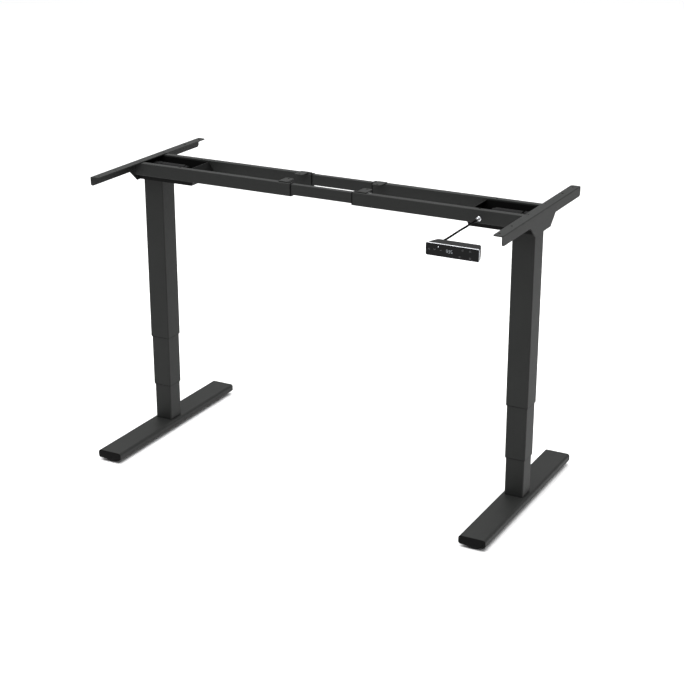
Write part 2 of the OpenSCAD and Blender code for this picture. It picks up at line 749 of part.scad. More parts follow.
glide(1, 1);  // right_glide_rear
middle_column(1);  // right_middle_column
middle_bush(1);  // right_middle_bush
middle_plug(1);  // right_middle_plug
hollow_spindle(1);  // right_hollow_spindle
upper_column(1);  // right_upper_column
upper_bush(1);  // right_upper_bush
drive_spindle(1);  // right_drive_spindle
tray(1);  // right_tray
gearbox(1);  // right_gearbox
motor(1);  // right_motor
side_bracket(1);  // right_side_bracket
head_screws(1);  // right_head_screws
outer_rail(1, -1);  // right_front_rail
outer_rail(1, 1);  // right_rear_rail
desk_tabs(1);  // right_desk_tabs
rail_sleeves(1);  // right_rail_sleeves
lock_screws(1);  // right_lock_screws
control_box();
lead_socket();
lead_plug();
handset_lead();
handset_shell();
handset_frame();
handset_glass();
handset_board();
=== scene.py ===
"""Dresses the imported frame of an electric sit-stand desk and sets it in a plain studio.

The CAD nodes carry every size. This file gives them their finishes, replaces the
moulded and turned pieces with detailed ones, and adds the small things a maker
would: weld beads, screw recesses, threads, keys and the handset's lead.
"""

import json
import logging
import math
from dataclasses import dataclass, field
from enum import Enum
from typing import Callable, Iterable, Protocol, Sequence

import bmesh
import bpy
from mathutils import Matrix, Vector


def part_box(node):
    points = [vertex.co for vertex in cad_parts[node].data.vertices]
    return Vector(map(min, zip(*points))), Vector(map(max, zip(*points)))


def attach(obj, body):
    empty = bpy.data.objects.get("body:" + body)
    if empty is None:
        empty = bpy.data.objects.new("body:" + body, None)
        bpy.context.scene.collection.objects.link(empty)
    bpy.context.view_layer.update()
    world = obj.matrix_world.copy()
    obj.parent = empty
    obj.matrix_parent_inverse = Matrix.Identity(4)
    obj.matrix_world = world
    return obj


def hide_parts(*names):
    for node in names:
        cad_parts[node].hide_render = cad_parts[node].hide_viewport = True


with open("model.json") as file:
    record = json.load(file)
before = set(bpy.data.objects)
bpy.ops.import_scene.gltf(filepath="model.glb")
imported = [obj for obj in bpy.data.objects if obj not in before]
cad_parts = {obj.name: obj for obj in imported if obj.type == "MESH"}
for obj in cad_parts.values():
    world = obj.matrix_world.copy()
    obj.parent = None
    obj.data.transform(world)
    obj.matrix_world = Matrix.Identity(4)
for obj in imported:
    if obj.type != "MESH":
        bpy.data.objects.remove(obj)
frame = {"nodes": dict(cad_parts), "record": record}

log = logging.getLogger("desk_frame")
MM = 0.001
Ring = list[Vector]
Triple = tuple[float, float, float]
Socket = bpy.types.NodeSocket

# Span of values that a noise texture mostly gives
NOISE_LOW, NOISE_HIGH = 0.3, 0.7


class Side(Enum):
    """The two ends of the desk, with the sign of their X."""

    LEFT = -1
    RIGHT = 1

    def node(self, name: str) -> str:
        """Full name of this side's CAD node or body."""
        return f"{self.name.lower()}_{name}"


# ---------------------------------------------------------------- finishes


class ShadeTree:
    """Short-hand for building one material's nodes."""

    def __init__(self, name: str) -> None:
        """Starts an empty material with a Principled shader.

        Args:
            name: Name of the material.
        """
        self.material = bpy.data.materials.new(name)
        self.material.use_nodes = True
        self.tree = self.material.node_tree
        self.tree.nodes.clear()
        self.out = self.add("ShaderNodeOutputMaterial")
        self.shader = self.add("ShaderNodeBsdfPrincipled")
        self.link(self.shader.outputs[0], self.out.inputs["Surface"])
        self.place = self.add("ShaderNodeTexCoord").outputs["Object"]

    def add(self, kind: str, **values: object) -> bpy.types.Node:
        """Adds a node and sets its properties.

        Args:
            kind: Blender's name for the node type.
            **values: Attributes to set on it.

        Returns:
            The new node.
        """
        node = self.tree.nodes.new(kind)
        for key, value in values.items():
            setattr(node, key, value)
        return node

    def link(self, source: Socket, target: Socket) -> None:
        """Joins two sockets."""
        self.tree.links.new(source, target)

    def stretched(self, scale: Sequence[float]) -> Socket:
        """Scales the object's coordinates by a different amount along each axis.

        Args:
            scale: Scales along X, Y and Z.

        Returns:
            The coordinate socket.
        """
        node = self.add("ShaderNodeMapping")
        node.inputs["Scale"].default_value = scale
        self.link(self.place, node.inputs["Vector"])
        return node.outputs[0]

    def noise(
        self, scale: float, detail: float = 3.0, rough: float = 0.5, along: Socket | None = None
    ) -> Socket:
        """Adds a noise texture.

        Args:
            scale: Features per metre.
            detail: Octaves.
            rough: Strength of the finer octaves.
            along: Coordinates, or None for the object's own.

        Returns:
            Its value socket.
        """
        node = self.add("ShaderNodeTexNoise")
        node.inputs["Scale"].default_value = scale
        node.inputs["Detail"].default_value = detail
        node.inputs["Roughness"].default_value = rough
        self.link(along or self.place, node.inputs["Vector"])
        return node.outputs[0]

    def cells(self, scale: float) -> Socket:
        """Adds a cell texture, for grain and orange peel.

        Args:
            scale: Cells per metre.

        Returns:
            Its distance socket.
        """
        node = self.add("ShaderNodeTexVoronoi", feature="SMOOTH_F1")
        node.inputs["Scale"].default_value = scale
        node.inputs["Smoothness"].default_value = 0.6
        self.link(self.place, node.inputs["Vector"])
        return node.outputs["Distance"]

    def spread(
        self,
        source: Socket,
        low: float,
        high: float,
        start: float = NOISE_LOW,
        end: float = NOISE_HIGH,
    ) -> Socket:
        """Maps a texture's usual range to a value range.

        Args:
            source: Texture value.
            low: Value at start.
            high: Value at end.
            start: Source value that gives low.
            end: Source value that gives high.

        Returns:
            The mapped value.
        """
        node = self.add("ShaderNodeMapRange", clamp=True)
        for index, value in enumerate((start, end, low, high), 1):
            node.inputs[index].default_value = value
        self.link(source, node.inputs[0])
        return node.outputs[0]

    def colours(self, source: Socket, low: Sequence[float], high: Sequence[float]) -> Socket:
        """Blends two colours by a texture.

        Args:
            source: Texture value.
            low: Linear colour where the texture is low.
            high: Linear colour where it is high.

        Returns:
            The colour socket.
        """
        node = self.add("ShaderNodeValToRGB")
        first, last = node.color_ramp.elements
        first.position, last.position = NOISE_LOW, NOISE_HIGH
        first.color, last.color = (*low, 1.0), (*high, 1.0)
        self.link(source, node.inputs[0])
        return node.outputs[0]

    def relief(
        self, source: Socket, depth: float, strength: float = 1.0, over: Socket | None = None
    ) -> Socket:
        """Adds a bump of a real depth.

        Args:
            source: Height from 0 to 1.
            depth: Height of 1, in metres.
            strength: Share of the bump that shows.
            over: Another bump's normal to build on.

        Returns:
            The normal socket.
        """
        node = self.add("ShaderNodeBump")
        node.inputs["Distance"].default_value = depth
        node.inputs["Strength"].default_value = strength
        self.link(source, node.inputs["Height"])
        if over is not None:
            self.link(over, node.inputs["Normal"])
        return node.outputs[0]

    def soft_edges(self, radius: float) -> Socket:
        """Adds a normal that rounds the edges, as paint does.

        Args:
            radius: Radius of the rounding, in metres.

        Returns:
            The normal socket.
        """
        node = self.add("ShaderNodeBevel", samples=4)
        node.inputs["Radius"].default_value = radius
        return node.outputs[0]

    def set(self, **values: object) -> None:
        """Sets sockets of the shader by name, with _ for a space."""
        for key, value in values.items():
            self.shader.inputs[key.replace("_", " ")].default_value = value

    def feed(self, **sources: Socket) -> None:
        """Links sockets of the shader by name, with _ for a space."""
        for key, source in sources.items():
            self.link(source, self.shader.inputs[key.replace("_", " ")])


def tint(colour: Sequence[float], by: float) -> Triple:
    """Scales a linear colour."""
    return tuple(min(1.0, c * by) for c in colour)


class Finish(Protocol):
    """Anything that can build one material."""

    def make(self, name: str) -> bpy.types.Material:
        """Builds the material under a name."""


@dataclass(frozen=True)
class PowderCoat:
    """Fine-textured satin powder coat over sheet steel."""

    colour: Triple = (0.0138, 0.0145, 0.0139)
    shine: float = 0.16
    grain_per_m: float = 1500.0
    grain_depth: float = 0.00004
    edge: float = 0.0007

    def make(self, name: str) -> bpy.types.Material:
        """Builds the material.

        Args:
            name: Name of the material.

        Returns:
            The material.
        """
        tree = ShadeTree(name)
        cloud = tree.noise(9.0, 2.0)
        speck = tree.noise(self.grain_per_m * 0.8, 2.0)
        tone = tree.add("ShaderNodeMix", data_type="RGBA", blend_type="MULTIPLY")
        tone.inputs[0].default_value = 1.0
        paint = tree.colours(cloud, tint(self.colour, 0.94), tint(self.colour, 1.06))
        tree.link(paint, tone.inputs[6])
        tree.link(tree.colours(speck, (0.86, 0.86, 0.86), (1.0, 1.0, 1.0)), tone.inputs[7])
        orange_peel = tree.cells(self.grain_per_m * 0.55)
        peel = tree.relief(orange_peel, self.grain_depth, 0.5, tree.soft_edges(self.edge))
        fine = tree.relief(tree.noise(self.grain_per_m, 3.0, 0.6), self.grain_depth, 0.55, peel)
        tree.set(Specular_IOR_Level=self.shine)
        tree.feed(
            Base_Color=tone.outputs[2],
            Roughness=tree.spread(speck, 0.46, 0.60),
            Normal=fine,
        )
        return tree.material


@dataclass(frozen=True)
class MouldedPlastic:
    """Injection-moulded plastic with a spark-eroded grain."""

    colour: Triple = (0.012, 0.012, 0.012)
    roughness: float = 0.48
    grain_per_m: float = 2600.0
    grain_depth: float = 0.00003
    edge: float = 0.0004
    shine: float = 0.22

    def make(self, name: str) -> bpy.types.Material:
        """Builds the material.

        Args:
            name: Name of the material.

        Returns:
            The material.
        """
        tree = ShadeTree(name)
        flow = tree.noise(26.0, 2.0)
        grain = tree.cells(self.grain_per_m)
        normal = tree.relief(grain, self.grain_depth, 0.5, tree.soft_edges(self.edge))
        tree.set(Specular_IOR_Level=self.shine)
        tree.feed(
            Base_Color=tree.colours(flow, tint(self.colour, 0.9), tint(self.colour, 1.12)),
            Roughness=tree.spread(grain, self.roughness - 0.05, self.roughness + 0.07, 0.1, 0.6),
            Normal=normal,
        )
        return tree.material


@dataclass(frozen=True)
class Elastomer:
    """Matt rubber or soft PVC with a fine bloom."""

    colour: Triple = (0.010, 0.010, 0.010)
    roughness: float = 0.62
    shine: float = 0.15

    def make(self, name: str) -> bpy.types.Material:
        """Builds the material.

        Args:
            name: Name of the material.

        Returns:
            The material.
        """
        tree = ShadeTree(name)
        bloom = tree.noise(140.0, 4.0, 0.6)
        normal = tree.relief(tree.noise(1900.0, 2.0), 0.00002, 0.5, tree.soft_edges(0.0004))
        tree.set(Specular_IOR_Level=self.shine)
        tree.feed(
            Base_Color=tree.colours(bloom, tint(self.colour, 0.85), tint(self.colour, 1.35)),
            Roughness=tree.spread(bloom, self.roughness - 0.06, self.roughness + 0.08),
            Normal=normal,
        )
        return tree.material


class Lay(Enum):
    """Which way a metal's fine marks run, as scales along X, Y and Z."""

    ALONG_X = (12.0, 900.0, 900.0)
    ALONG_Z = (900.0, 900.0, 12.0)
    CAST = (260.0, 260.0, 260.0)


@dataclass(frozen=True)
class BareMetal:
    """Plated, brushed or cast metal."""

    colour: Triple = (0.60, 0.61, 0.63)
    roughness: float = 0.30
    lay: Lay = Lay.ALONG_X
    depth: float = 0.00001

    def make(self, name: str) -> bpy.types.Material:
        """Builds the material.

        Args:
            name: Name of the material.

        Returns:
            The material.
        """
        tree = ShadeTree(name)
        marks = tree.noise(1.0, 3.0, 0.6, tree.stretched(self.lay.value))
        stain = tree.noise(70.0, 3.0)
        normal = tree.relief(marks, self.depth, 0.6, tree.soft_edges(0.0003))
        tree.set(Metallic=1.0)
        tree.feed(
            Base_Color=tree.colours(stain, tint(self.colour, 0.84), tint(self.colour, 1.08)),
            Roughness=tree.spread(marks, self.roughness - 0.06, self.roughness + 0.10),
            Normal=normal,
        )
        return tree.material


@dataclass(frozen=True)
class PolishedPanel:
    """Hard-coated black touch panel."""

    colour: Triple = (0.0025, 0.0025, 0.0028)

    def make(self, name: str) -> bpy.types.Material:
        """Builds the material.

        Args:
            name: Name of the material.

        Returns:
            The material.
        """
        tree = ShadeTree(name)
        smear = tree.noise(42.0, 4.0, 0.62)
        tree.set(Specular_IOR_Level=0.12)
        tree.feed(
            Base_Color=tree.colours(smear, tint(self.colour, 0.9), tint(self.colour, 1.15)),
            Roughness=tree.spread(smear, 0.07, 0.16),
            Normal=tree.relief(tree.noise(24.0, 1.0), 0.00002, 0.3),
        )
        return tree.material


@dataclass(frozen=True)
class LitMark:
    """Key or digit lit from behind through the panel."""

    colour: Triple = (0.26, 0.28, 0.30)
    glow: float = 0.10

    def make(self, name: str) -> bpy.types.Material:
        """Builds the material.

        Args:
            name: Name of the material.

        Returns:
            The material.
        """
        tree = ShadeTree(name)
        patch = tree.noise(900.0, 1.0)
        tree.set(Roughness=0.4, Emission_Strength=self.glow)
        lit = tree.colours(patch, tint(self.colour, 0.88), self.colour)
        tree.feed(Base_Color=lit, Emission_Color=lit)
        return tree.material


@dataclass(frozen=True)
class SolderMask:
    """Circuit board with copper showing faintly under its mask."""

    colour: Triple = (0.012, 0.085, 0.035)

    def make(self, name: str) -> bpy.types.Material:
        """Builds the material.

        Args:
            name: Name of the material.

        Returns:
            The material.
        """
        tree = ShadeTree(name)
        trace = tree.cells(420.0)
        tree.set(Specular_IOR_Level=0.5)
        tree.feed(
            Base_Color=tree.colours(trace, tint(self.colour, 1.6), self.colour),
            Roughness=tree.spread(trace, 0.30, 0.42),
        )
        return tree.material


class FinishBook:
    """Every finish of the desk, by the record's slot name."""

    RECIPES: dict[str, Finish] = {
        "powder_coat": PowderCoat(),
        # the tray's coat is the frame's powder coat made about four times darker: painted shade for
        # the shaded inside of the tray
        "tray_coat": PowderCoat((0.0035, 0.0036, 0.0035), 0.08),
        "cap_plastic": MouldedPlastic((0.0030, 0.0030, 0.0030), 0.55, shine=0.06),
        "glide_rubber": Elastomer((0.004, 0.004, 0.004)),
        "bush_plastic": MouldedPlastic((0.0030, 0.0030, 0.0030), 0.55, shine=0.05),
        "guide_plastic": MouldedPlastic((0.62, 0.60, 0.54), 0.42, 1500.0),
        "zinc": BareMetal((0.62, 0.63, 0.66), 0.28, Lay.CAST),
        "black_screw": BareMetal((0.020, 0.020, 0.021), 0.42, Lay.CAST),
        "spindle_steel": BareMetal((0.50, 0.50, 0.50), 0.26, Lay.ALONG_Z),
        "gear_case": PowderCoat((0.0030, 0.0031, 0.0032), 0.05, 900.0),
        "motor_paint": MouldedPlastic((0.0025, 0.0025, 0.0027), 0.45, 1100.0, shine=0.06),
        "box_plastic": MouldedPlastic((0.0025, 0.0025, 0.0027), 0.5, shine=0.06),
        "socket_chrome": BareMetal((0.74, 0.75, 0.77), 0.13, Lay.CAST, 0.000004),
        "plug_plastic": MouldedPlastic((0.004, 0.004, 0.004), 0.45, shine=0.12),
        "lead_jacket": Elastomer((0.0012, 0.0012, 0.0012), 0.6, 0.02),
        "handset_plastic": MouldedPlastic((0.0045, 0.0045, 0.0047), 0.5, shine=0.10),
        "handset_trim": BareMetal((0.50, 0.51, 0.53), 0.22, Lay.ALONG_X, 0.000004),
        "touch_glass": PolishedPanel(),
        "circuit_board": SolderMask(),
    }

    def __init__(self) -> None:
        """Builds each finish once."""
        self.by_slot = {slot: recipe.make(slot) for slot, recipe in self.RECIPES.items()}
        self.lit = LitMark().make("lit_mark")
        self.led = LitMark((0.75, 0.78, 0.82), 0.7).make("led_mark")
        self.printed = LitMark((0.07, 0.072, 0.075), 0.01).make("printed_mark")
        # near-black matt sleeve for the desktop's screw holes: painted shade inside them, darker
        # than the powder coat the holes have
        self.hole_shade_paint = MouldedPlastic((0.003, 0.003, 0.003), 0.7).make("dark_recess")

    def __getitem__(self, slot: str) -> bpy.types.Material:
        """The slot's material."""
        return self.by_slot[slot]


# ---------------------------------------------------------------- forming


def circle_ring(radius: float, height: float, count: int = 40) -> Ring:
    """Points of a level circle about the Z axis."""
    angles = (2 * math.pi * i / count for i in range(count))
    return [Vector((radius * math.cos(a), radius * math.sin(a), height)) for a in angles]


def hex_ring(flat: float, height: float, count: int = 40) -> Ring:
    """Points of a level hexagon, at the same angles as a circle's.

    Args:
        flat: Half-width across the flats.
        height: Z of the ring.
        count: Points of the ring.

    Returns:
        The points, anticlockwise from the +X axis.
    """
    ring = []
    for i in range(count):
        a = 2 * math.pi * i / count
        off = (a + math.pi / 6) % (math.pi / 3) - math.pi / 6
        r = flat / math.cos(off)
        ring.append(Vector((r * math.cos(a), r * math.sin(a), height)))
    return ring


def box_ring(width: float, depth: float, radius: float, height: float, arc: int = 6) -> Ring:
    """Points of a level rectangle with round corners, centred on the Z axis.

    Args:
        width: Size along X.
        depth: Size along Y.
        radius: Corner radius.
        height: Z of the ring.
        arc: Steps round each corner.

    Returns:
        The points, anticlockwise from the +X, +Y corner.
    """
    radius = max(min(radius, width / 2 - 1e-5, depth / 2 - 1e-5), 1e-5)
    ring = []
    for quarter, (sx, sy) in enumerate(((1, 1), (-1, 1), (-1, -1), (1, -1))):
        for i in range(arc + 1):
            a = math.pi / 2 * (quarter + i / arc)
            x = sx * (width / 2 - radius) + radius * math.cos(a)
            y = sy * (depth / 2 - radius) + radius * math.sin(a)
            ring.append(Vector((x, y, height)))
    return ring


def lathe(profile: Iterable[tuple[float, float]], count: int = 40) -> list[Ring]:
    """Rings of a turned piece, from its radius and height at each step."""
    return [circle_ring(radius, height, count) for radius, height in profile]


def block(profile: Iterable[tuple[float, float, float, float]], arc: int = 6) -> list[Ring]:
    """Rings of a moulded block, from its width, depth, corner and height at each step."""
    return [box_ring(*step, arc) for step in profile]


def fluted(ring: Ring, share: float, first: int) -> Ring:
    """Draws every second point of a ring towards the Z axis.

    Args:
        ring: The ring.
        share: Radius of the drawn points, as a share of the ring's.
        first: First point to draw, 0 or 1.

    Returns:
        The fluted ring.
    """
    shares = [share if i % 2 == first else 1.0 for i in range(len(ring))]
    return [Vector((p.x * k, p.y * k, p.z)) for p, k in zip(ring, shares)]


def oblong(x0: float, y0: float, x1: float, y1: float) -> list[tuple[float, float]]:
    """Corners of a flat rectangle, anticlockwise."""
    return [(x0, y0), (x1, y0), (x1, y1), (x0, y1)]


def corners(reach: float) -> list[tuple[float, float]]:
    """Corners of a square about the origin, the same reach along X and Y."""
    return [(x * reach, y * reach) for x in (-1, 1) for y in (-1, 1)]


class Form:
    """A mesh under construction, made of lofted rings and flat shapes."""

    def __init__(self) -> None:
        """Starts empty."""
        self.bm = bmesh.new()

    def loft(
        self, rings: Sequence[Ring], at: Matrix | None = None, caps: bool = True, loop: bool = False
    ) -> "Form":
        """Skins a stack of rings with the same number of points.

        Args:
            rings: The rings in order.
            at: Transform of the whole stack.
            caps: Whether the two ends are closed.
            loop: Whether the last ring joins the first.

        Returns:
            This form.
        """
        at = at or Matrix.Identity(4)
        rows = [[self.bm.verts.new(at @ p) for p in ring] for ring in rings]
        n = len(rows[0])
        pairs = list(zip(rows, rows[1:])) + ([(rows[-1], rows[0])] if loop else [])
        for a, b in pairs:
            for i in range(n):
                self.bm.faces.new((a[i], a[(i + 1) % n], b[(i + 1) % n], b[i]))
        if caps and not loop:
            self.bm.faces.new(list(reversed(rows[0])))
            self.bm.faces.new(rows[-1])
        return self

    def slab(
        self, outline: Sequence[Sequence[float]], low: float, high: float, at: Matrix | None = None
    ) -> "Form":
        """Extrudes a flat XY outline between two heights."""
        rings = [[Vector((x, y, z)) for x, y in outline] for z in (low, high)]
        return self.loft(rings, at)

    def finish(
        self, name: str, material: bpy.types.Material, smooth: float = 40.0
    ) -> bpy.types.Object:
        """Turns the form into an object.

        Args:
            name: Piece name.
            material: Its finish.
            smooth: Edges flatter than this many degrees are shaded smooth.

        Returns:
            The linked object.
        """
        bmesh.ops.recalc_face_normals(self.bm, faces=self.bm.faces)
        mesh = bpy.data.meshes.new(name)
        self.bm.to_mesh(mesh)
        self.bm.free()
        mesh.materials.append(material)
        piece = bpy.data.objects.new(name, mesh)
        bpy.context.scene.collection.objects.link(piece)
        for poly in mesh.polygons:
            poly.use_smooth = True
        mesh.set_sharp_from_angle(angle=math.radians(smooth))
        return piece


def tube_rings(
    path: Sequence[Vector], radius: Callable[[int], float], count: int = 12
) -> list[Ring]:
    """Rings square to a path, with a radius for each point.

    Args:
        path: Centreline.
        radius: Gives the radius at a point's index.
        count: Points of each ring.

    Returns:
        One ring for each point.
    """
    rings = []
    for i, point in enumerate(path):
        run = (path[min(i + 1, len(path) - 1)] - path[max(i - 1, 0)]).normalized()
        side = run.cross(Vector((0, 0, 1)))
        side = (side if side.length > 1e-4 else run.cross(Vector((0, 1, 0)))).normalized()
        up = side.cross(run)
        rings.append(
            [
                point + radius(i) * (math.cos(a) * side + math.sin(a) * up)
                for a in (2 * math.pi * k / count for k in range(count))
            ]
        )
    return rings


def weld_path(start: Vector, end: Vector, pitch: float = 0.0016) -> list[Vector]:
    """Takes even steps along a straight weld.

    Args:
        start: One end.
        end: The other end.
        pitch: About how far apart the steps are.

    Returns:
        The points, both ends included.
    """
    steps = max(4, int((end - start).length / pitch))
    return [start.lerp(end, i / steps) for i in range(steps + 1)]


def screw_rings(
    head: float,
    height: float,
    socket: float,
    round_over: float,
    cone: bool = False,
    count: int = 36,
) -> list[Ring]:
    """Rings of a screw head with a hexagon socket, seat at Z = 0.

    Args:
        head: Head radius.
        height: Head height above its seat.
        socket: Half-width of the hexagon.
        round_over: How far the top edge is drawn in.
        cone: True for a countersunk head, whose top is flat.
        count: Points of each ring.

    Returns:
        The rings from the seat over the top and down into the socket.
    """
    deep = height * 0.62
    rings = [circle_ring(head * 0.52 if cone else head * 0.98, 0.0, count)]
    if cone:
        rings += [circle_ring(head, height * 0.9, count), circle_ring(head * 0.97, height, count)]
    else:
        rings += [circle_ring(head, height * 0.12, count), circle_ring(head, height * 0.32, count)]
        for step in (0.35, 0.7, 1.0):
            a = step * math.pi / 2
            drawn_in = head - round_over * (1 - math.cos(a))
            rings.append(circle_ring(drawn_in, height * (0.32 + 0.68 * math.sin(a)), count))
    rings += [
        hex_ring(socket * 1.12, height, count),
        hex_ring(socket, height - 0.0003, count),
        hex_ring(socket, height - deep, count),
        hex_ring(socket * 0.3, height - deep - 0.0004, count),
    ]
    return rings


def turned(axis: Vector, at: Vector) -> Matrix:
    """Transform that takes +Z to an axis and the origin to a point."""
    return Matrix.Translation(at) @ axis.to_track_quat("Z", "Y").to_matrix().to_4x4()


def standing(node: str) -> Matrix:
    """Transform with its origin under the middle of a CAD node's box.

    Args:
        node: The CAD node.

    Returns:
        The transform.
    """
    low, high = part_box(node)
    centre = (low + high) / 2
    return Matrix.Translation(Vector((centre.x, centre.y, low.z)))


def add_screw(form: Form, seat: Vector, head: Sequence[Ring], reach: float) -> None:
    """Adds a screw to a form: its head on a seat and its plain shank below.

    Args:
        form: Form to add it to.
        seat: Middle of the seat.
        head: Rings of the head.
        reach: How far down the shank goes.
    """
    shank = 0.003
    form.loft(head, Matrix.Translation(seat))
    form.loft(lathe(((shank, -reach), (shank, 0.0)), 20), Matrix.Translation(seat))


@dataclass
class Assembly:
    """What every sub-assembly of the desk shares."""

    finishes: FinishBook
    made: list[str] = field(default_factory=list, init=False)

    def dress(self, node: str, slot: str) -> None:
        """Gives a CAD node its finish, in each of its material slots.

        Args:
            node: The CAD node.
            slot: Record slot of the finish.
        """
        piece = frame["nodes"][node]
        for place in piece.material_slots:
            place.material = self.finishes[slot]
        self.made.append(node)
        log.info("dressed %s in %s", node, slot)

    def fit(
        self, piece: bpy.types.Object, body: str, slot: str, stands_for: Iterable[str] = ()
    ) -> bpy.types.Object:
        """Fixes a new piece to a body.

        Args:
            piece: The piece, in place.
            body: Body it moves with.
            slot: Record slot of its finish; not used.
            stands_for: CAD nodes it replaces.

        Returns:
            The piece.
        """
        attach(piece, body)
        names = list(stands_for)
        if names:
            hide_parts(*names)
        self.made.append(piece.name)
        log.info("built %s on %s", piece.name, body)
        return piece


# ---------------------------------------------------------------- studio


@dataclass(frozen=True)
class Softbox:
    """One rectangular light: its place, the point it faces, its size and its watts."""

    name: str
    at: Triple
    aim: Triple
    width: float
    height: float
    watts: float

    def hang(self) -> None:
        """Adds the light to the scene."""
        data = bpy.data.lights.new(self.name, "AREA")
        data.shape, data.size, data.size_y = "RECTANGLE", self.width, self.height
        data.energy = self.watts
        lamp = bpy.data.objects.new(self.name, data)
        lamp.location = self.at
        facing = Vector(self.aim) - Vector(self.at)
        lamp.rotation_euler = facing.to_track_quat("-Z", "Y").to_euler()
        bpy.context.scene.collection.objects.link(lamp)


@dataclass
class Studio:
    """Camera, lights and floor."""

    camera_at: Triple = (2.20559, -4.06405, 2.12734)
    tilt_deg: float = 69.65
    turn_deg: float = 28.144
    lens_mm: float = 82.77
    floor_half: float = 60.0
    sky: float = 0.34
    lights: tuple[Softbox, ...] = (
        Softbox("ceiling", (0.0, 4.0, 8.0), (0.0, 4.0, 0.0), 24.0, 20.0, 2100.0),
        Softbox("top_softbox", (-0.2, -1.0, 4.4), (0.0, 0.0, 0.4), 5.0, 5.0, 260.0),
    )

    def build(self) -> None:
        """Builds the whole studio."""
        self.camera()
        self.floor()
        for light in self.lights:
            light.hang()
        world = bpy.data.worlds.new("studio_sky")
        world.use_nodes = True
        back = world.node_tree.nodes["Background"]
        back.inputs[0].default_value = (1.0, 1.0, 1.0, 1.0)
        back.inputs[1].default_value = self.sky
        bpy.context.scene.world = world
        bpy.context.scene.view_settings.view_transform = "Standard"

    def camera(self) -> None:
        """Sets the camera at the object's three-quarter view."""
        data = bpy.data.cameras.new("view_camera")
        data.lens, data.sensor_width = self.lens_mm, 36.0
        data.clip_start, data.clip_end = 0.05, 200.0
        data.dof.use_dof = False
        camera = bpy.data.objects.new("view_camera", data)
        camera.location = self.camera_at
        camera.rotation_euler = (math.radians(self.tilt_deg), 0.0, math.radians(self.turn_deg))
        bpy.context.scene.collection.objects.link(camera)
        bpy.context.scene.camera = camera

    def floor(self) -> None:
        """Lays a plain pale floor."""
        tree = ShadeTree("studio_floor")
        tree.set(Roughness=0.85, Specular_IOR_Level=0.1)
        paint = tree.colours(tree.noise(0.6, 2.0), (0.86, 0.86, 0.86), (0.88, 0.88, 0.88))
        tree.feed(Base_Color=paint)
        h = self.floor_half
        form = Form()
        form.bm.faces.new([form.bm.verts.new((x, y, 0.0)) for x, y in oblong(-h, -h, h, h)])
        form.finish("studio_floor", tree.material)


# ---------------------------------------------------------------- lead


